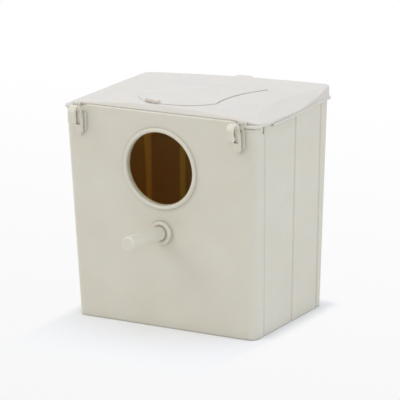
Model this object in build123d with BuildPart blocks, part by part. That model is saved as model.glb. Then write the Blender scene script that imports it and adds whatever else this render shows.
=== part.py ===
from build123d import *
from math import cos, radians, sin, tan
import os

# Nest box for small cage birds, in millimetres. The origin is under the middle of the floor,
# +Z is up, the entrance faces -Y and +X is to the right of someone looking at the entrance.

# Box walls, which lean outwards so that the mouth is wider than the floor
base_width = 137.5
base_depth = 95.6
wall_height = 145.0
side_lean = 1.86
front_lean = 1.58
wall = 2.0
corner_radius = 6.0
least_round = 0.5

# Joints between the mouldings
fit = 0.15
seam_gap = 0.1
seam_groove_width = 1.6
seam_groove_depth = 0.7
front_drop = 0.3
return_length = 12.4
tongue_length = 4.0
tongue_start = 10.0
keyhole_inset = 2.2
keyhole_depth = 3.6
keyhole_width = 1.3
keyhole_eye = 1.15

# Plank grooves in the shell
groove_width = 2.2
groove_depth = 1.1
side_plank = 38.3
rear_plank = 9.5
back_plank = 41.0

# Brow: the front wall stands higher between the hinges
brow_rise = 3.7
brow_round = 0.5
brow_slope = 5.6
brow_slope_drop = 1.5
brow_clearance = 0.12
brow_rake = 28.0

# Floor tray
tray_edge = 3.2
upstand_height = 6.0
upstand_wall = 1.6
hollow_radius = 42.0
hollow_depth = 1.4
tray_round = 1.0

# Entrance
entrance_height = 110.6
entrance_radius = 25.0
bead_width = 3.0
bead_height = 1.7
collar_wall = 1.8
collar_depth = 1.0

# Perch and its boss
perch_height = 66.6
perch_rise = 4.0
perch_radius = 4.9
perch_length = 42.6
perch_tip_round = 1.4
boss_wall = 2.4
boss_proud = 3.4
boss_inside = 5.0
boss_round = 0.8
seat_depth = 1.4
seat_gap = 0.5
spigot_step = 1.4
spigot_fit = 0.05
snap_bead = 0.5
snap_taper = 30.0

# Hook plates on the front panel and the wire hooks seated in them
hook_inset = 13.0
plate_width = 9.8
plate_height = 16.3
plate_corner = 4.4
plate_proud = 1.0
plate_margin = 0.8
foot_width = 5.8
foot_raise = 1.8
foot_round = 2.2
arm_width = 4.8
arm_thickness = 1.6
arm_embed = 0.2
arm_clearance = 1.8
arm_root = 4.0
wire_gap = 6.6
arch_raise = -0.6
tongue_drop = 6.3
barb_reach = 1.6
barb_height = 4.2
peg_radius = 1.6
peg_fit = 0.06
peg_raise = 3.4
core_right = 1.0
core_raise = 5.3
core_top = 1.0
core_clearance = 0.6

# Lid: flange, arched roof and skirt, with heights measured from the underside of the flange
lid_seat_gap = 0.1
lid_side_overhang = 0.9
lid_rear_side_overhang = 1.9
lid_front_overhang = 0.5
lid_back_overhang = 1.8
lid_bulge = 2.0
lid_bulge_at = 6.0
lid_front_corner = 6.0
lid_corner_spread = 1.2
rim_height = 1.8
rim_round = 0.7
rim_under_round = 0.4
roof = 2.2
roof_step = 2.85
roof_shift = 2.15
front_crest_rise = 7.6
front_eaves_rise = 2.4
back_crest_rise = 8.1
back_left_rise = 3.8
back_right_rise = 9.9
eaves_margin = 2.5
roof_shoulder = 0.8
eaves_slope = 20.0
eaves_front_y = -52.0
eaves_front_rise = 2.9
eaves_low_y = -8.0
eaves_low_rise = 1.2
eaves_back_y = 43.0
eaves_back_rise = 8.6
skirt_wall = 1.7
skirt_setback = 20.8
skirt_end = 24.0
skirt_proud = 1.0
skirt_front_drop = 2.0
skirt_middle_drop = 1.75
skirt_back_drop = 0.4
skirt_middle_at = -5.0
skirt_round = 0.8
tab_width = 12.0
tab_reach = 5.0
tab_thickness = 2.2
tab_rise = 5.3
tab_x = 5.0
tab_corner = 3.0

# Lid hinge: bars on the lid turn in open clips on the front panel
hinge_setback = 0.4
hinge_rise = 3.4
hinge_inset = 11.0
clip_width = 3.0
clip_side_gap = 0.25
clip_wall = 0.6
clip_root = 1.0
clip_mouth = 1.25
clip_mouth_angle = 35.0
bar_radius = 0.8
bar_clearance = 0.06
lug_wall = 0.6
lug_width = 0.9
notch_clearance = 0.8

# Flap in the roof, bent up along a thin line at its rear
flap_rear_y = 20.9
flap_rear_half = 40.5
flap_waist_y = -9.5
flap_waist_half = 28.2
flap_corner_y = -26.5
flap_front_half = 29.5
flap_nose_y = -43.5
flap_left_half = 34.0
flap_left_y = -16.0
flap_corner_radius = 2.0
flap_thickness = 1.3
flap_lift = 0.4
flap_rear_gap = 0.12
slit_rear = 2.4
slit_front = 0.9
nose_gap = 0.2
ledge_width = 2.2
ledge_gap = 0.3
relief_radius = 1.2
relief_front_radius = 0.55
lip_length = 12.4
lip_width = 4.4
lip_height = 2.3
lip_gap = 0.15
lip_x = -10.4
lip_y = -40.9
lip_turn = -18.0
lip_corner = 1.8
lip_round = 0.7

os.makedirs("parts", exist_ok=True)


def half_width(z):
    """Half the outer width of the box at a height."""
    return base_width / 2 + z * tan(radians(side_lean))


def half_depth(z):
    """Half the outer depth of the box at a height."""
    return base_depth / 2 + z * tan(radians(front_lean))


# Outer faces of the walls: on the front face x runs to the right, y up the wall and z outwards
front_face = Plane(
    origin=(0, -base_depth / 2, 0),
    x_dir=(1, 0, 0),
    z_dir=(0, -cos(radians(front_lean)), -sin(radians(front_lean))),
)
back_face = Plane(
    origin=(0, base_depth / 2, 0),
    x_dir=(-1, 0, 0),
    z_dir=(0, cos(radians(front_lean)), -sin(radians(front_lean))),
)
right_face = Plane(
    origin=(base_width / 2, 0, 0),
    x_dir=(0, 1, 0),
    z_dir=(cos(radians(side_lean)), 0, -sin(radians(side_lean))),
)
left_face = Plane(
    origin=(-base_width / 2, 0, 0),
    x_dir=(0, -1, 0),
    z_dir=(-cos(radians(side_lean)), 0, -sin(radians(side_lean))),
)


def tapered_block(inset, low, high):
    """Solid inside the four walls, drawn in by an inset, between two heights."""
    with BuildPart() as block:
        with Locations((0, 0, low)):
            Box(
                4 * base_width,
                4 * base_depth,
                high - low,
                align=(Align.CENTER, Align.CENTER, Align.MIN),
            )
        for face in (front_face, back_face, right_face, left_face):
            split(bisect_by=face.offset(-inset), keep=Keep.BOTTOM)
        upright_edges = block.edges().group_by(Axis.Z)[1]
        fillet(upright_edges, max(corner_radius - inset, least_round))
    return block.part


def plank_groove(face, place):
    """V-shaped bar up a wall face, to be cut out of it."""
    bottom = face.from_local_coords((place, 0, 0))
    with BuildPart() as groove:
        with BuildSketch(Plane(origin=bottom, x_dir=face.x_dir, z_dir=-face.y_dir)):
            with BuildLine():
                Polyline(
                    (-groove_width / 2, 0),
                    (0, -groove_depth),
                    (groove_width / 2, 0),
                    (groove_width / 2, groove_depth),
                    (-groove_width / 2, groove_depth),
                    close=True,
                )
            make_face()
        extrude(amount=-2 * wall_height)
    return groove.part


# Values shared by the pieces
front_top = wall_height - front_drop
seam = front_face.offset(-return_length)
seam_y = -half_depth(front_top) + return_length
hook_x = half_width(front_top) - hook_inset
rim_low = wall_height + lid_seat_gap
lid_half_width = half_width(wall_height) + lid_side_overhang
lid_rear_half_width = half_width(wall_height) + lid_rear_side_overhang
lid_front = half_depth(wall_height) + lid_front_overhang
lid_back = half_depth(wall_height) + lid_back_overhang
hinge_x = lid_half_width - hinge_inset
hinge_y = -half_depth(front_top) + hinge_setback
hinge_z = rim_low + hinge_rise
bore_radius = bar_radius + bar_clearance
clip_radius = bore_radius + clip_wall
notch_width = clip_width + 2 * clip_side_gap
brow_top = wall_height + brow_rise
brow_end = hinge_x - notch_width / 2 - lug_width - brow_clearance - fit
brow_back = -half_depth(wall_height) + wall + brow_clearance
wall_block = tapered_block(0, tray_edge, wall_height)
room_block = tapered_block(wall, tray_edge, wall_height)


def seam_groove(face, inward):
    """V-shaped bar along the line where the seam meets a side face, to be cut out of it."""
    along = face.z_dir.cross(seam.z_dir) * -inward
    foot = (face.origin.X, -base_depth / 2 + return_length / cos(radians(front_lean)), 0)
    with BuildPart() as groove:
        with BuildSketch(Plane(origin=foot, x_dir=(0, 1, 0), z_dir=along)):
            with BuildLine():
                Polyline(
                    (-seam_groove_width / 2, 0),
                    (0, inward * seam_groove_depth),
                    (seam_groove_width / 2, 0),
                    (seam_groove_width / 2, -inward * seam_groove_depth),
                    (-seam_groove_width / 2, -inward * seam_groove_depth),
                    close=True,
                )
            make_face()
        extrude(amount=2 * wall_height)
    return groove.part


seam_grooves = [seam_groove(right_face, 1), seam_groove(left_face, -1)]

# Rebate inside the edges of the front panel, and the tongues of the shell that slide into it
half_wall_block = tapered_block(wall / 2, tray_edge, wall_height)
tongue_block = tapered_block(wall / 2 + fit, tongue_start, front_top - keyhole_depth)
with BuildPart() as rebate:
    add(half_wall_block)
    add(room_block, mode=Mode.SUBTRACT)
    split(bisect_by=seam, keep=Keep.TOP)
    split(bisect_by=seam.offset(tongue_length + fit), keep=Keep.BOTTOM)

with BuildPart() as tongues:
    add(tongue_block)
    add(room_block, mode=Mode.SUBTRACT)
    split(bisect_by=seam.offset(-tongue_length), keep=Keep.TOP)
    split(bisect_by=seam.offset(tongue_length), keep=Keep.BOTTOM)

# Entrance ring: a rounded bead outside and a short collar inside, turned about the hole
entrance_centre = front_face.from_local_coords((0, entrance_height, 0))
ring_section = Plane(origin=entrance_centre, x_dir=(1, 0, 0), z_dir=-front_face.y_dir)
bead_outer = entrance_radius + bead_width
collar_outer = entrance_radius + collar_wall
with BuildPart() as entrance_ring:
    with BuildSketch(ring_section):
        with BuildLine():
            bead = ThreePointArc(
                (bead_outer, 0),
                (entrance_radius + bead_width / 2, bead_height),
                (entrance_radius, 0),
            )
            Polyline(
                bead @ 1,
                (entrance_radius, -wall - collar_depth),
                (collar_outer, -wall - collar_depth),
                (collar_outer, -wall / 2),
                (bead_outer, -wall / 2),
                bead @ 0,
            )
        make_face()
    revolve(axis=Axis(entrance_centre, front_face.z_dir))

# Perch boss: a stub tube through the wall, tilted up a little
perch_mouth = Plane(
    origin=front_face.from_local_coords((0, perch_height, 0)),
    x_dir=(1, 0, 0),
    z_dir=(0, -cos(radians(perch_rise)), sin(radians(perch_rise))),
)
spigot_radius = perch_radius - spigot_step
boss_radius = perch_radius + seat_gap + boss_wall
with BuildPart() as perch_boss:
    with BuildSketch(perch_mouth.offset(-wall - boss_inside)):
        Circle(boss_radius)
    extrude(amount=wall + boss_inside + boss_proud)
    fillet(perch_boss.faces().sort_by(Axis.Y)[0].edges(), boss_round)

# Front panel
plate_high = front_top - plate_margin
plate_low = plate_high - plate_height
foot_low = plate_low + foot_raise
foot_high = front_top - clip_root - fit
peg_height = foot_low + peg_raise
with BuildPart() as front_panel:
    add(wall_block)
    add(room_block, mode=Mode.SUBTRACT)
    split(bisect_by=seam, keep=Keep.TOP)
    split(bisect_by=Plane.XY.offset(front_top), keep=Keep.BOTTOM)
    add(rebate.part, mode=Mode.SUBTRACT)

    with BuildSketch(front_face):
        with BuildLine():
            Polyline(
                (-brow_end, front_top - wall),
                (-brow_end, brow_top - brow_slope_drop),
                (-brow_end + brow_slope, brow_top),
                (brow_end - brow_slope, brow_top),
                (brow_end, brow_top - brow_slope_drop),
                (brow_end, front_top - wall),
                close=True,
            )
        make_face()
    extrude(amount=-wall)
    brow_edges = front_panel.edges().filter_by(Axis.X).sort_by(Axis.Z)[-2:]
    fillet(brow_edges.sort_by(Axis.Y)[0], brow_round)

    with BuildSketch(front_face.offset(wall)):
        with Locations((0, entrance_height)):
            Circle(entrance_radius + collar_wall / 2)
    extrude(amount=-3 * wall, mode=Mode.SUBTRACT)
    add(entrance_ring.part)

    add(perch_boss.part)
    with Locations(perch_mouth.offset(boss_proud)):
        CounterBoreHole(
            radius=spigot_radius + spigot_fit,
            counter_bore_radius=perch_radius + seat_gap,
            counter_bore_depth=seat_depth,
            depth=boss_proud + wall + boss_inside + boss_radius,
        )

    # Shield-shaped plates with a pocket, open at the top, for the foot of each hook
    with BuildSketch(front_face.offset(-wall / 2)):
        for x in (-hook_x, hook_x):
            with BuildLine():
                Polyline(
                    (x - plate_width / 2, plate_high),
                    (x - plate_width / 2, plate_low + plate_corner),
                    (x - plate_width / 2 + plate_corner, plate_low),
                    (x + plate_width / 2 - plate_corner, plate_low),
                    (x + plate_width / 2, plate_low + plate_corner),
                    (x + plate_width / 2, plate_high),
                    close=True,
                )
            make_face()
    extrude(amount=wall / 2 + plate_proud)
    with BuildSketch(front_face):
        with Locations((-hook_x, foot_low - fit), (hook_x, foot_low - fit)):
            RectangleRounded(
                foot_width + 2 * fit,
                2 * plate_height,
                foot_round + fit,
                align=(Align.CENTER, Align.MIN),
            )
    extrude(amount=2 * plate_proud, mode=Mode.SUBTRACT)
    with BuildSketch(front_face.offset(plate_proud)):
        with Locations((-hook_x, peg_height), (hook_x, peg_height)):
            Circle(peg_radius + peg_fit)
    extrude(amount=-(plate_proud + 2 * wall), mode=Mode.SUBTRACT)

    # Hinge clips that stand on the top edge, open upwards and backwards for the bars of the lid
    clip_front = -lid_front
    clip_back = -half_depth(front_top) + wall
    for x in (-hinge_x, hinge_x):
        with BuildSketch(Plane.YZ.offset(x - clip_width / 2)):
            with Locations((clip_front, front_top - clip_root)):
                Rectangle(
                    clip_back - clip_front,
                    hinge_z - front_top + clip_root,
                    align=(Align.MIN, Align.MIN),
                )
            with Locations((hinge_y, hinge_z)):
                Circle(clip_radius)
                Circle(bore_radius, mode=Mode.SUBTRACT)
                Rectangle(
                    clip_mouth,
                    2 * clip_radius,
                    rotation=-clip_mouth_angle,
                    align=(Align.CENTER, Align.MIN),
                    mode=Mode.SUBTRACT,
                )
        extrude(amount=clip_width)

    # A keyhole beside the seam lets the corner spring
    with BuildSketch(Plane.YZ):
        with Locations((seam_y - keyhole_inset, front_top)):
            Rectangle(keyhole_width, 2 * keyhole_depth)
        with Locations((seam_y - keyhole_inset, front_top - keyhole_depth)):
            Circle(keyhole_eye)
    extrude(amount=half_width(front_top) + wall, both=True, mode=Mode.SUBTRACT)
    for groove in seam_grooves:
        add(groove, mode=Mode.SUBTRACT)
front_panel.part.label = "front_panel"
export_step(front_panel.part, "parts/front_panel.step")

# Back shell: left wall, back wall and right wall in one moulding
side_start = -half_depth(0) + return_length
side_places = (side_start + side_plank, half_depth(0) - rear_plank)
wall_grooves = [plank_groove(right_face, place) for place in side_places]
wall_grooves += [plank_groove(left_face, -place) for place in side_places]
wall_grooves += [plank_groove(back_face, step * back_plank) for step in (-1, 0, 1)]
with BuildPart() as back_shell:
    add(wall_block)
    add(room_block, mode=Mode.SUBTRACT)
    split(bisect_by=seam.offset(-seam_gap), keep=Keep.BOTTOM)
    add(tongues.part)
    for groove in wall_grooves + seam_grooves:
        add(groove, mode=Mode.SUBTRACT)
back_shell.part.label = "back_shell"
export_step(back_shell.part, "parts/back_shell.step")

# Floor tray: a plate under the walls, an upstand inside them and a shallow hollow for the eggs
upstand_top = tray_edge + upstand_height
upstand_outer = tapered_block(wall + fit, tray_edge, upstand_top)
upstand_inner = tapered_block(wall + fit + upstand_wall, tray_edge, upstand_top)
tray_plate = tapered_block(0, 0, tray_edge)
with BuildPart() as base_tray:
    add(upstand_outer)
    add(upstand_inner, mode=Mode.SUBTRACT)
    add(tray_plate)
    fillet(base_tray.faces().sort_by(Axis.Z)[0].edges(), tray_round)
    with BuildSketch(Plane.XZ):
        with BuildLine():
            dish = ThreePointArc(
                (-hollow_radius, tray_edge),
                (0, tray_edge - hollow_depth),
                (hollow_radius, tray_edge),
            )
            Line(dish @ 1, dish @ 0)
        make_face()
        split(bisect_by=Plane.YZ, keep=Keep.TOP)
    revolve(axis=Axis.Z, mode=Mode.SUBTRACT)
    for groove in wall_grooves + seam_grooves:
        add(groove, mode=Mode.SUBTRACT)
base_tray.part.label = "base_tray"
export_step(base_tray.part, "parts/base_tray.step")

# Perch: a rod seated in the boss, with a thinner spigot and a snap bead behind the boss
seat = perch_mouth.offset(boss_proud - seat_depth)
spigot_length = boss_proud - seat_depth + wall + boss_inside + fit
with BuildPart() as perch:
    with BuildSketch(seat):
        Circle(perch_radius)
    extrude(amount=perch_length)
    fillet(perch.faces().sort_by(Axis.Y)[0].edges(), perch_tip_round)
    with BuildSketch(seat):
        Circle(spigot_radius)
    extrude(amount=-spigot_length)
    with BuildSketch(seat.offset(-spigot_length)):
        Circle(spigot_radius + snap_bead)
    extrude(amount=-2 * snap_bead, taper=snap_taper)
perch.part.label = "perch"
export_step(perch.part, "parts/perch.step")

# Wire hooks: a foot in the plate, a peg through the wall, an arch and a tongue with a barb;
# the stem is cored out, which leaves a leg on its right
arm_back = lid_front_overhang + arm_clearance
foot_thickness = arm_back + arm_embed
arch_inner = wire_gap / 2
arch_outer = arch_inner + arm_thickness
arch_x = arm_back + arch_outer
arch_y = rim_low + arch_raise
tongue_back = arch_x + arch_inner
tongue_front = arch_x + arch_outer
tongue_tip = arch_y - tongue_drop
barb_back = tongue_back - barb_reach
for x, name in ((-hook_x, "hook_left"), (hook_x, "hook_right")):
    hook_side = Plane(
        origin=front_face.from_local_coords((x, 0, 0)),
        x_dir=front_face.z_dir,
        z_dir=(-1, 0, 0),
    )
    with BuildPart() as hook:
        with BuildSketch(front_face):
            with Locations((x, (foot_low + foot_high) / 2)):
                RectangleRounded(foot_width, foot_high - foot_low, foot_round)
        extrude(amount=foot_thickness)
        with BuildSketch(front_face):
            with Locations((x, peg_height)):
                Circle(peg_radius)
        extrude(amount=-wall - fit)
        with BuildSketch(front_face.offset(-wall - fit)):
            with Locations((x, peg_height)):
                Circle(peg_radius + snap_bead)
        extrude(amount=-2 * snap_bead, taper=snap_taper)
        with BuildSketch(hook_side):
            with BuildLine():
                rise = Line((arm_back, foot_high - arm_root), (arm_back, arch_y))
                over = ThreePointArc(
                    rise @ 1,
                    (arch_x, arch_y + arch_outer),
                    (tongue_front, arch_y),
                )
                front = Line(over @ 1, (tongue_front, tongue_tip + arm_thickness / 2))
                tip = Line(front @ 1, (tongue_back, tongue_tip))
                barb = Polyline(
                    tip @ 1,
                    (barb_back, tongue_tip + barb_height / 3),
                    (barb_back, tongue_tip + barb_height / 2),
                    (tongue_back, tongue_tip + barb_height),
                    (tongue_back, arch_y),
                )
                under = ThreePointArc(
                    barb @ 1,
                    (arch_x, arch_y + arch_inner),
                    (arch_x - arch_inner, arch_y),
                )
                Polyline(under @ 1, (arch_x - arch_inner, foot_high), rise @ 0)
            make_face()
        extrude(amount=arm_width / 2, both=True)
        with BuildSketch(front_face):
            with Locations((x + core_right, foot_low + core_raise)):
                Rectangle(
                    2 * foot_width,
                    arch_y + core_top - foot_low - core_raise,
                    align=(Align.MAX, Align.MIN),
                )
        extrude(amount=arm_back + arm_thickness + core_clearance, mode=Mode.SUBTRACT)
    hook.part.label = name
    export_step(hook.part, f"parts/{name}.step")


def lid_plan(inset):
    """Outline of the lid from above, drawn in by an inset; the sides bow outwards."""
    with BuildSketch() as plan:
        with BuildLine():
            front = Line((-lid_half_width, -lid_front), (lid_half_width, -lid_front))
            right = ThreePointArc(
                front @ 1,
                (lid_half_width + lid_bulge, lid_bulge_at),
                (lid_rear_half_width, lid_back),
            )
            back = Line(right @ 1, (-lid_rear_half_width, lid_back))
            ThreePointArc(back @ 1, (-lid_half_width - lid_bulge, lid_bulge_at), front @ 0)
        make_face()
        fillet(plan.vertices().group_by(Axis.Y)[0], lid_front_corner)
        fillet(plan.vertices().group_by(Axis.Y)[-1], corner_radius + lid_corner_spread)
        if inset > 0:
            offset(amount=-inset, mode=Mode.REPLACE)
    return plan.sketch


def roof_block(front_lift, back_lift):
    """Solid under the arched roof, with its front and back arches lifted or lowered."""
    reach = lid_half_width + lid_bulge + eaves_margin
    with BuildPart() as block:
        for y, left, crest, right, lift in (
            (-lid_front, front_eaves_rise, front_crest_rise, front_eaves_rise, front_lift),
            (lid_back, back_left_rise, back_crest_rise, back_right_rise, back_lift),
        ):
            with BuildSketch(Plane.XZ.offset(-y)):
                with BuildLine():
                    arch = ThreePointArc(
                        (-reach, rim_low + left + lift),
                        (0, rim_low + crest + lift),
                        (reach, rim_low + right + lift),
                    )
                    Polyline(
                        arch @ 1,
                        (reach, rim_low - roof),
                        (-reach, rim_low - roof),
                        arch @ 0,
                    )
                make_face()
        loft(ruled=True)
    return block.part


def flap_plan(grow, rear, rear_gap=0, front_gap=0):
    """Outline of the flap from above, grown all round and more on its right, cut off at a rear line."""
    with BuildSketch() as plan:
        with BuildLine():
            right = ThreePointArc(
                (flap_rear_half + rear_gap, flap_rear_y),
                (flap_waist_half + (rear_gap + front_gap) / 2, flap_waist_y),
                (flap_front_half + front_gap, flap_corner_y),
            )
            nose = ThreePointArc(right @ 1, (0, flap_nose_y), (-flap_left_half, flap_left_y))
            Polyline(nose @ 1, (-flap_left_half, flap_rear_y), right @ 0)
        make_face()
        fillet(plan.vertices().group_by(Axis.Y)[0], flap_corner_radius)
        if grow != 0:
            offset(amount=grow, mode=Mode.REPLACE)
        with Locations((0, rear)):
            Rectangle(
                4 * flap_rear_half,
                4 * flap_rear_half,
                align=(Align.CENTER, Align.MAX),
                mode=Mode.INTERSECT,
            )
    return plan.sketch


# The flap lies level with the roof at its rear line and stands proud at its nose
lift_slope = flap_lift / (flap_rear_y - flap_nose_y)
flap_front_lift = lift_slope * (flap_rear_y + lid_front)
flap_back_lift = -lift_slope * (lid_back - flap_rear_y)
ledge_drop = flap_thickness + ledge_gap
tall = back_right_rise + 2 * roof_shoulder


def eaves_cut(drop):
    """Wedge above the right margin of the roof, which slopes down to an edge that sags."""
    fall = Vector(cos(radians(eaves_slope)), 0, -sin(radians(eaves_slope)))
    with BuildPart() as cut:
        with BuildSketch(Plane.YZ.offset(lid_half_width + lid_bulge - roof_step + roof_shift)) as side:
            with BuildLine():
                sag = ThreePointArc(
                    (eaves_front_y, rim_low + eaves_front_rise - drop),
                    (eaves_low_y, rim_low + eaves_low_rise - drop),
                    (eaves_back_y, rim_low + eaves_back_rise - drop),
                )
                Polyline(
                    sag @ 1,
                    (eaves_back_y, rim_low + tall),
                    (eaves_front_y, rim_low + tall),
                    sag @ 0,
                )
            make_face()
        extrude(side.sketch, amount=lid_half_width / 2, dir=-fall)
        extrude(side.sketch, amount=roof_step, dir=fall)
    return cut.part


with BuildPart() as roof_shell:
    with BuildSketch(Plane.XY.offset(rim_low)):
        with Locations((roof_shift, 0)):
            add(lid_plan(roof_step))
    extrude(amount=tall)
    add(roof_block(0, 0), mode=Mode.INTERSECT)
    fillet(roof_shell.faces().sort_by(Axis.Z)[-1].edges(), roof_shoulder)
    add(eaves_cut(0), mode=Mode.SUBTRACT)

with BuildPart() as roof_room:
    with BuildSketch(Plane.XY.offset(rim_low - roof)):
        with Locations((roof_shift, 0)):
            add(lid_plan(roof_step + roof))
    extrude(amount=tall)
    add(roof_block(-roof, -roof), mode=Mode.INTERSECT)
    add(eaves_cut(roof), mode=Mode.SUBTRACT)

with BuildPart() as flap_seat:
    with BuildSketch(Plane.XY.offset(rim_low)):
        add(
            flap_plan(
                nose_gap,
                flap_rear_y + flap_rear_gap,
                slit_rear - nose_gap,
                slit_front - nose_gap,
            )
        )
    extrude(amount=tall)
    add(roof_block(flap_front_lift - ledge_drop, flap_back_lift - ledge_drop), mode=Mode.SUBTRACT)

# Skirt along the sides: a strip as high as the rim that hangs lower towards the front
skirt_start = -half_depth(wall_height) + skirt_setback
skirt_length = skirt_end - skirt_start


def skirt_section(top, bottom):
    """Area beside the strip's sagging line, between two heights, as a solid across the lid."""
    with BuildPart() as section:
        with BuildSketch(Plane.YZ):
            with BuildLine():
                sag = ThreePointArc(
                    (skirt_start, top - skirt_front_drop),
                    (skirt_middle_at, top - skirt_middle_drop),
                    (skirt_end, top - skirt_back_drop),
                )
                Polyline(sag @ 1, (skirt_end, bottom), (skirt_start, bottom), sag @ 0)
            make_face()
        extrude(amount=2 * lid_half_width, both=True)
    return section.part


with BuildPart() as skirt:
    with BuildSketch(Plane.XY.offset(rim_low - 2 * rim_height)):
        with Locations((0, skirt_start)):
            Rectangle(4 * lid_half_width, skirt_length, align=(Align.CENTER, Align.MIN))
        add(lid_plan(0), mode=Mode.INTERSECT)
        add(lid_plan(skirt_wall), mode=Mode.SUBTRACT)
    extrude(amount=2.5 * rim_height)
    add(skirt_section(rim_low, rim_low - 3 * rim_height), mode=Mode.SUBTRACT)
    for strip in skirt.solids():
        underside = strip.faces().sort_by(Axis.Z)[0]
        fillet(underside.edges().sort_by(lambda edge: abs(edge.center().X))[-1], skirt_round)

with BuildPart() as skirt_relief:
    with BuildSketch(Plane.XY.offset(rim_low - 2 * rim_height)):
        with Locations((0, skirt_start)):
            Rectangle(4 * lid_half_width, skirt_length, align=(Align.CENTER, Align.MIN))
        add(lid_plan(skirt_proud), mode=Mode.SUBTRACT)
    extrude(amount=4 * rim_height)
    add(skirt_section(rim_low + rim_height, rim_low - 3 * rim_height), mode=Mode.SUBTRACT)

# Lid
lug_radius = bar_radius + lug_wall
lug_foot = hinge_rise - rim_height / 2
notch_back = hinge_y + clip_radius + notch_clearance
with BuildPart() as lid:
    with BuildSketch(Plane.XY.offset(rim_low)):
        add(lid_plan(0))
    extrude(amount=rim_height)
    fillet(lid.faces().sort_by(Axis.Z)[-1].edges(), rim_round)
    fillet(lid.faces().sort_by(Axis.Z)[0].edges(), rim_under_round)
    add(skirt.part)
    add(skirt_relief.part, mode=Mode.SUBTRACT)
    add(roof_shell.part)
    with BuildSketch(Plane.XY.offset(rim_low + tab_rise)):
        with Locations((tab_x, lid_back)):
            RectangleRounded(tab_width, 2 * tab_reach, tab_corner)
    extrude(amount=tab_thickness)
    add(roof_room.part, mode=Mode.SUBTRACT)
    add(flap_seat.part, mode=Mode.SUBTRACT)
    with BuildSketch(Plane.XY.offset(rim_low)):
        add(flap_plan(-ledge_width, flap_rear_y))
        with Locations((flap_rear_half + slit_rear / 2, flap_rear_y)):
            Circle(relief_radius)
        with Locations((flap_front_half + slit_front / 2, flap_corner_y)):
            Circle(relief_front_radius)
    extrude(amount=tall, mode=Mode.SUBTRACT)

    # The front edge is cut back behind the brow of the front panel, and leans back above it
    rake_height = rim_low + tall - brow_top
    with BuildSketch(Plane.YZ):
        with BuildLine():
            Polyline(
                (brow_back, rim_low - roof),
                (brow_back, brow_top),
                (brow_back + rake_height * tan(radians(brow_rake)), rim_low + tall),
                (-2 * lid_front, rim_low + tall),
                (-2 * lid_front, rim_low - roof),
                close=True,
            )
        make_face()
    extrude(amount=brow_end + brow_clearance, both=True, mode=Mode.SUBTRACT)

    # Notches for the clips, then a lug on each side of a notch and a bar across it
    with BuildSketch(Plane.XY.offset(rim_low - roof)):
        with Locations((-hinge_x, notch_back), (hinge_x, notch_back)):
            Rectangle(notch_width, lid_front, align=(Align.CENTER, Align.MAX))
    extrude(amount=tall + roof, mode=Mode.SUBTRACT)
    for x in (-hinge_x, hinge_x):
        for lug_x in (x - notch_width / 2 - lug_width, x + notch_width / 2):
            with BuildSketch(Plane.YZ.offset(lug_x)):
                with Locations((hinge_y, hinge_z)):
                    Circle(lug_radius)
                    Rectangle(2 * lug_radius, lug_foot, align=(Align.CENTER, Align.MAX))
            extrude(amount=lug_width)
        with BuildSketch(Plane.YZ.offset(x - notch_width / 2 - lug_width / 2)):
            with Locations((hinge_y, hinge_z)):
                Circle(bar_radius)
        extrude(amount=notch_width + lug_width)
lid.part.label = "lid"
export_step(lid.part, "parts/lid.step")

# Flap with its finger lip, a bar that overhangs the slit and stays clear of the roof
lip_share = (lip_y + lid_front) / (lid_back + lid_front)
roof_at_lip = front_crest_rise + lip_share * (back_crest_rise - front_crest_rise)
lip_base = rim_low + roof_at_lip + lip_gap
with BuildPart() as finger_lip:
    with BuildSketch(Plane.XY.offset(lip_base)):
        with Locations((lip_x, lip_y)):
            RectangleRounded(lip_length, lip_width, lip_corner, rotation=lip_turn)
    extrude(amount=lip_height)
    fillet(finger_lip.faces().sort_by(Axis.Z)[-1].edges(), lip_round)

with BuildPart() as lid_flap:
    with BuildSketch(Plane.XY.offset(rim_low)):
        add(flap_plan(0, flap_rear_y))
    extrude(amount=tall)
    add(roof_block(flap_front_lift, flap_back_lift), mode=Mode.INTERSECT)
    add(
        roof_block(flap_front_lift - flap_thickness, flap_back_lift - flap_thickness),
        mode=Mode.SUBTRACT,
    )
    add(finger_lip.part)
lid_flap.part.label = "lid_flap"
export_step(lid_flap.part, "parts/lid_flap.step")
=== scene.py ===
from math import radians, tan

import bpy
from mathutils import Matrix, Vector

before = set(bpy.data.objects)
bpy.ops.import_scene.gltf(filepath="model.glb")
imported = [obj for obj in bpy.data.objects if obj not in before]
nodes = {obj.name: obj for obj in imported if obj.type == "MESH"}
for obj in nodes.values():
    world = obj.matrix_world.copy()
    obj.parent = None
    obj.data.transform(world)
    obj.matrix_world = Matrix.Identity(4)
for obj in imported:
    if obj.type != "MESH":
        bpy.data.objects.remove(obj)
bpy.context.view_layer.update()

# Lengths are metres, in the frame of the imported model: +Z up, the entrance faces -Y.
MM = 0.001

# Camera, fitted to the photograph's 400 by 400 frame
CAMERA_PLACE = Vector((989.84, -1697.55, 595.57)) * MM
CAMERA_FORWARD = Vector((-0.486816, 0.835445, -0.255032))
CAMERA_RIGHT = Vector((0.865925, 0.499943, -0.015183))
CAMERA_UP = Vector((-0.114817, 0.22823, 0.966813))
CAMERA_LENS = 270.0
CAMERA_SENSOR = 36.0
CAMERA_NEAR = 0.05
CAMERA_FAR = 50.0

# Colours are linear
IVORY = (0.690, 0.650, 0.550)
IVORY_WARM = (0.665, 0.623, 0.517)
LID_IVORY = (0.670, 0.626, 0.564)
LID_WARM = (0.650, 0.604, 0.540)
THROUGH_LIGHT_AMBER = (0.685, 0.535, 0.205)
THROUGH_LIGHT_AMBER_BRIGHT = (0.950, 0.710, 0.260)
FLOOR_GREY = (0.90, 0.89, 0.88)
KEY_LIGHT = (1, 1, 1)
TOP_LIGHT = (0.71, 0.81, 1.0)
SIDE_LIGHT = (0.73, 0.84, 1.0)

# Inner faces of the box, painted amber for the light that comes in through the walls
ROOM_WIDTH = 133.6 * MM
ROOM_DEPTH = 91.7 * MM
ROOM_FLOOR = 1.5 * MM
SIDE_LEAN = radians(1.86)
FRONT_LEAN = radians(1.58)
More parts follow.
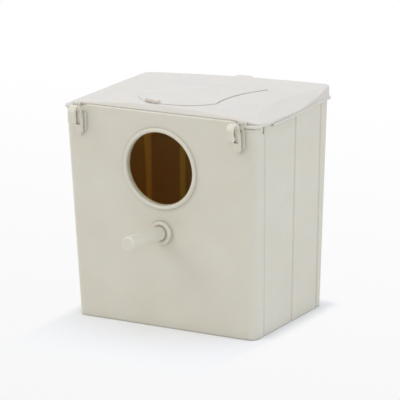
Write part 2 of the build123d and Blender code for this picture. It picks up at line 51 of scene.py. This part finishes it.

# Grooves in the back wall and its corners, painted a lighter amber where more light comes in
GROOVE_STEP = 41.0 * MM
GROOVE_HALF = 2.2 * MM
CORNER_FROM = 66.3 * MM
BACK_FROM = 45.0 * MM
TRAY_TOP = 9.2 * MM

# Noises of the plastic, each as features per metre and detail, and the part of their range that is used
MOTTLE = (38.0, 3.0)
PATCHES = (90.0, 4.0)
WAVES = (26.0, 1.0)
SPARK = (1900.0, 2.0)
NOISE_LOW = 0.3
NOISE_HIGH = 0.7

# Relief, gloss and light through the plastic
WAVE_HEIGHT = 0.4 * MM
WAVE_STRENGTH = 0.5
SPARK_HEIGHT = 0.05 * MM
SPARK_STRENGTH = 0.25
WALL_ROUGHNESS = 0.42
LID_ROUGHNESS = 0.34
ROUGHNESS_SPREAD = 0.05
PLASTIC_IOR = 1.49
LIGHT_SHARE = 0.3
LIGHT_DEPTH = 4.0 * MM
LIGHT_DEPTH_SHARES = (1.0, 0.70, 0.40)

# Painted shade: the colour of the walls is darkened in narrow gaps where little light gets in
SHADE_PAINT_REACH = 2.5 * MM
SHADE_PAINT_SAMPLES = 8
SHADE_PAINT_SHARE = 0.3

# Floor, lit round the foot of the box and near white further out; it fades faster at the sides and back
FLOOR_HALF = 8.0
FOOT_HALF_WIDTH = 68.7 * MM
FOOT_HALF_DEPTH = 47.8 * MM
FADE_STRETCH = 8.0
FADE_NEAR = 0.01
FADE_FAR = 0.11
WHITE_FRONT = -0.25
WHITE_BACK = 0.6
WHITE_LOW = 0.93

# Light from all round, and square lamps as name, place, aim, size in metres, power in watts and colour
WORLD_LIGHT = 0.60
LAMPS = (
    ("key", (-1.3, -1.5, 1.9), (0, 0, 0.08), 1.6, 17.5, KEY_LIGHT),
    ("top", (0.1, 0.2, 2.1), (0, 0, 0.1), 2.0, 18.0, TOP_LIGHT),
    ("side", (2.0, -0.2, 1.0), (0, 0, 0.08), 1.6, 11.8, SIDE_LIGHT),
)


def new_material(name):
    """An empty node material with its output, as (material, nodes, links, output)."""
    material = bpy.data.materials.new(name)
    material.use_nodes = True
    tree = material.node_tree
    tree.nodes.clear()
    output = tree.nodes.new("ShaderNodeOutputMaterial")
    return material, tree.nodes, tree.links, output


def noise(nodes_, links, coordinates, grain):
    """A noise texture on object coordinates; the grain is its features per metre and its detail."""
    texture = nodes_.new("ShaderNodeTexNoise")
    texture.inputs["Scale"].default_value, texture.inputs["Detail"].default_value = grain
    links.new(coordinates.outputs["Object"], texture.inputs["Vector"])
    return texture


def math_node(nodes_, links, operation, first, second):
    """One Math node on two inputs, each a socket or a number."""
    node = nodes_.new("ShaderNodeMath")
    node.operation = operation
    for socket, value in zip(node.inputs, (first, second)):
        if isinstance(value, (int, float)):
            socket.default_value = value
        else:
            links.new(value, socket)
    return node.outputs["Value"]


def vector_node(nodes_, links, operation, *values):
    """One Vector Math node on inputs that are sockets or three numbers."""
    node = nodes_.new("ShaderNodeVectorMath")
    node.operation = operation
    for socket, value in zip(node.inputs, values):
        if isinstance(value, tuple):
            socket.default_value = value
        else:
            links.new(value, socket)
    return node


def inside_box(nodes_, links, coordinates):
    """1 on the inner faces of the leaning walls and on the floor, 0 elsewhere."""
    place = nodes_.new("ShaderNodeSeparateXYZ")
    links.new(coordinates.outputs["Object"], place.inputs["Vector"])
    height = place.outputs["Z"]
    mask = math_node(nodes_, links, "GREATER_THAN", height, ROOM_FLOOR)
    for axis, width, lean in (("X", ROOM_WIDTH, SIDE_LEAN), ("Y", ROOM_DEPTH, FRONT_LEAN)):
        reach = math_node(nodes_, links, "ABSOLUTE", place.outputs[axis], 0.0)
        spread = math_node(nodes_, links, "MULTIPLY", height, tan(lean))
        upright = math_node(nodes_, links, "SUBTRACT", reach, spread)
        within = math_node(nodes_, links, "LESS_THAN", upright, width / 2)
        mask = math_node(nodes_, links, "MULTIPLY", mask, within)
    return mask


def back_grooves(nodes_, links, coordinates):
    """1 along the grooves and the corners of the back wall, above the tray, 0 elsewhere."""
    place = nodes_.new("ShaderNodeSeparateXYZ")
    links.new(coordinates.outputs["Object"], place.inputs["Vector"])
    away = math_node(nodes_, links, "PINGPONG", place.outputs["X"], GROOVE_STEP / 2)
    mask = math_node(nodes_, links, "LESS_THAN", away, GROOVE_HALF)
    reach = math_node(nodes_, links, "ABSOLUTE", place.outputs["X"], 0.0)
    corner = math_node(nodes_, links, "GREATER_THAN", reach, CORNER_FROM)
    mask = math_node(nodes_, links, "MAXIMUM", mask, corner)
    behind = math_node(nodes_, links, "GREATER_THAN", place.outputs["Y"], BACK_FROM)
    mask = math_node(nodes_, links, "MULTIPLY", mask, behind)
    above = math_node(nodes_, links, "GREATER_THAN", place.outputs["Z"], TRAY_TOP)
    return math_node(nodes_, links, "MULTIPLY", mask, above)


def mix_colours(nodes_, links, share, first, second):
    """A mix of two colours, each a socket or three numbers, by a share, a socket or a number."""
    mix = nodes_.new("ShaderNodeMix")
    mix.data_type = "RGBA"
    sockets = {socket.identifier: socket for socket in (*mix.inputs, *mix.outputs)}
    if isinstance(share, float):
        sockets["Factor_Float"].default_value = share
    else:
        links.new(share, sockets["Factor_Float"])
    for name, colour in (("A_Color", first), ("B_Color", second)):
        if isinstance(colour, tuple):
            sockets[name].default_value = (*colour, 1)
        else:
            links.new(colour, sockets[name])
    return sockets["Result_Color"]


def moulded_plastic(name, light, dark, roughness, is_wall):
    """Satin moulded plastic: faint mottling, fine spark texture, slow waves, some light through it; on
    the walls, the inner faces get a painted amber glow and narrow gaps get painted shade.
    """
    material, nodes_, links, output = new_material(name)
    shader = nodes_.new("ShaderNodeBsdfPrincipled")
    links.new(shader.outputs["BSDF"], output.inputs["Surface"])
    coordinates = nodes_.new("ShaderNodeTexCoord")

    mottle = noise(nodes_, links, coordinates, MOTTLE)
    tint = nodes_.new("ShaderNodeValToRGB")
    tint.color_ramp.elements[0].position = NOISE_LOW
    tint.color_ramp.elements[0].color = (*dark, 1)
    tint.color_ramp.elements[1].position = NOISE_HIGH
    tint.color_ramp.elements[1].color = (*light, 1)
    links.new(mottle.outputs["Fac"], tint.inputs["Fac"])
    colour = tint.outputs["Color"]
    if is_wall:
        # Painted light: the inner faces take an amber colour for the light through the walls, lighter
        # along the back grooves and corners
        thin = back_grooves(nodes_, links, coordinates)
        painted_through_light = mix_colours(nodes_, links, thin, THROUGH_LIGHT_AMBER, THROUGH_LIGHT_AMBER_BRIGHT)
        inner = inside_box(nodes_, links, coordinates)
        colour = mix_colours(nodes_, links, inner, colour, painted_through_light)
        # Painted shade: the colour is darkened in narrow gaps and hollows, by how closely other
        # surfaces hem them in
        painted_gap_shade = nodes_.new("ShaderNodeAmbientOcclusion")
        painted_gap_shade.samples = SHADE_PAINT_SAMPLES
        painted_gap_shade.inputs["Distance"].default_value = SHADE_PAINT_REACH
        links.new(colour, painted_gap_shade.inputs["Color"])
        colour = mix_colours(nodes_, links, SHADE_PAINT_SHARE, colour, painted_gap_shade.outputs["Color"])
    links.new(colour, shader.inputs["Base Color"])

    patches = noise(nodes_, links, coordinates, PATCHES)
    gloss = nodes_.new("ShaderNodeMapRange")
    gloss.inputs["From Min"].default_value = NOISE_LOW
    gloss.inputs["From Max"].default_value = NOISE_HIGH
    gloss.inputs["To Min"].default_value = roughness - ROUGHNESS_SPREAD
    gloss.inputs["To Max"].default_value = roughness + ROUGHNESS_SPREAD
    links.new(patches.outputs["Fac"], gloss.inputs["Value"])
    links.new(gloss.outputs["Result"], shader.inputs["Roughness"])

    waves = noise(nodes_, links, coordinates, WAVES)
    spark = noise(nodes_, links, coordinates, SPARK)
    slow = nodes_.new("ShaderNodeBump")
    slow.inputs["Strength"].default_value = WAVE_STRENGTH
    slow.inputs["Distance"].default_value = WAVE_HEIGHT
    links.new(waves.outputs["Fac"], slow.inputs["Height"])
    fine = nodes_.new("ShaderNodeBump")
    fine.inputs["Strength"].default_value = SPARK_STRENGTH
    fine.inputs["Distance"].default_value = SPARK_HEIGHT
    links.new(spark.outputs["Fac"], fine.inputs["Height"])
    links.new(slow.outputs["Normal"], fine.inputs["Normal"])
    links.new(fine.outputs["Normal"], shader.inputs["Normal"])

    shader.inputs["IOR"].default_value = PLASTIC_IOR
    shader.inputs["Subsurface Weight"].default_value = LIGHT_SHARE
    shader.inputs["Subsurface Radius"].default_value = LIGHT_DEPTH_SHARES
    shader.inputs["Subsurface Scale"].default_value = LIGHT_DEPTH
    return material


def seen_ray(nodes_, links):
    """1 for the rays that show a background: camera, glossy and transmission rays."""
    path = nodes_.new("ShaderNodeLightPath").outputs
    seen = math_node(nodes_, links, "MAXIMUM", path["Is Camera Ray"], path["Is Glossy Ray"])
    return math_node(nodes_, links, "MAXIMUM", seen, path["Is Transmission Ray"])


def floor_material():
    """Pale floor that takes the soft shadow near the object and is near white further out."""
    material, nodes_, links, output = new_material("floor_paint")
    shader = nodes_.new("ShaderNodeBsdfDiffuse")
    shader.inputs["Color"].default_value = (*FLOOR_GREY, 1)
    white = nodes_.new("ShaderNodeEmission")
    white.inputs["Color"].default_value = (1, 1, 1, 1)
    geometry = nodes_.new("ShaderNodeNewGeometry")
    position = geometry.outputs["Position"]
    outside = []
    for right, back in ((FADE_STRETCH, -1.0), (-FADE_STRETCH, FADE_STRETCH)):
        edges = (-abs(right) * FOOT_HALF_WIDTH, -abs(back) * FOOT_HALF_DEPTH, 0)
        past = vector_node(nodes_, links, "MULTIPLY_ADD", position, (right, back, 0), edges)
        outside.append(past.outputs["Vector"])
    farthest = vector_node(nodes_, links, "MAXIMUM", *outside)
    beyond = vector_node(nodes_, links, "MAXIMUM", farthest.outputs["Vector"], (0, 0, 0))
    distance = vector_node(nodes_, links, "LENGTH", beyond.outputs["Vector"])
    fade = nodes_.new("ShaderNodeMapRange")
    fade.interpolation_type = "SMOOTHSTEP"
    fade.inputs["From Min"].default_value = FADE_NEAR
    fade.inputs["From Max"].default_value = FADE_FAR
    links.new(distance.outputs["Value"], fade.inputs["Value"])
    place = nodes_.new("ShaderNodeSeparateXYZ")
    links.new(position, place.inputs["Vector"])
    level = nodes_.new("ShaderNodeMapRange")
    level.inputs["From Min"].default_value = WHITE_FRONT
    level.inputs["From Max"].default_value = WHITE_BACK
    level.inputs["To Min"].default_value = WHITE_LOW
    level.inputs["To Max"].default_value = 1.0
    links.new(place.outputs["Y"], level.inputs["Value"])
    links.new(level.outputs["Result"], white.inputs["Strength"])
    share = math_node(nodes_, links, "MULTIPLY", fade.outputs["Result"], seen_ray(nodes_, links))
    mix = nodes_.new("ShaderNodeMixShader")
    links.new(share, mix.inputs["Fac"])
    links.new(shader.outputs["BSDF"], mix.inputs[1])
    links.new(white.outputs["Emission"], mix.inputs[2])
    links.new(mix.outputs["Shader"], output.inputs["Surface"])
    return material


def add_world(strength):
    """White background, and an even grey light from all round."""
    world = bpy.data.worlds.new("studio")
    world.use_nodes = True
    tree = world.node_tree
    tree.nodes.clear()
    output = tree.nodes.new("ShaderNodeOutputWorld")
    shown = tree.nodes.new("ShaderNodeBackground")
    shown.inputs["Color"].default_value = (1, 1, 1, 1)
    shown.inputs["Strength"].default_value = 1.0
    light = tree.nodes.new("ShaderNodeBackground")
    light.inputs["Color"].default_value = (1, 1, 1, 1)
    light.inputs["Strength"].default_value = strength
    mix = tree.nodes.new("ShaderNodeMixShader")
    tree.links.new(seen_ray(tree.nodes, tree.links), mix.inputs["Fac"])
    tree.links.new(light.outputs["Background"], mix.inputs[1])
    tree.links.new(shown.outputs["Background"], mix.inputs[2])
    tree.links.new(mix.outputs["Shader"], output.inputs["Surface"])
    bpy.context.scene.world = world


def add_softbox(name, place, aim, size, power, colour):
    """A square area lamp at a place, turned to a point."""
    lamp = bpy.data.lights.new(name, "AREA")
    lamp.shape = "SQUARE"
    lamp.size = size
    lamp.energy = power
    lamp.color = colour
    holder = bpy.data.objects.new(name, lamp)
    holder.location = place
    holder.rotation_euler = (Vector(aim) - Vector(place)).to_track_quat("-Z", "Y").to_euler()
    bpy.context.scene.collection.objects.link(holder)


def add_floor():
    """One large square under the object."""
    mesh = bpy.data.meshes.new("floor")
    signs = ((-1, -1), (1, -1), (1, 1), (-1, 1))
    corners = [(sx * FLOOR_HALF, sy * FLOOR_HALF, 0) for sx, sy in signs]
    mesh.from_pydata(corners, [], [(0, 1, 2, 3)])
    floor = bpy.data.objects.new("floor", mesh)
    floor.data.materials.append(floor_material())
    bpy.context.scene.collection.objects.link(floor)


def add_camera():
    """The camera at the photograph's viewpoint."""
    camera = bpy.data.cameras.new("camera")
    camera.lens = CAMERA_LENS
    camera.sensor_width = CAMERA_SENSOR
    camera.clip_start = CAMERA_NEAR
    camera.clip_end = CAMERA_FAR
    holder = bpy.data.objects.new("camera", camera)
    axes = Matrix((CAMERA_RIGHT, CAMERA_UP, -CAMERA_FORWARD)).transposed()
    holder.matrix_world = Matrix.Translation(CAMERA_PLACE) @ axes.to_4x4()
    bpy.context.scene.collection.objects.link(holder)
    bpy.context.scene.camera = holder


wall_plastic = moulded_plastic("wall_plastic", IVORY, IVORY_WARM, WALL_ROUGHNESS, True)
lid_plastic = moulded_plastic("lid_plastic", LID_IVORY, LID_WARM, LID_ROUGHNESS, False)
for name, node in nodes.items():
    node.data.materials.clear()
    node.data.materials.append(lid_plastic if name in ("lid", "lid_flap") else wall_plastic)

add_floor()
add_camera()
add_world(WORLD_LIGHT)
for lamp in LAMPS:
    add_softbox(*lamp)
bpy.context.scene.view_settings.view_transform = "Standard"
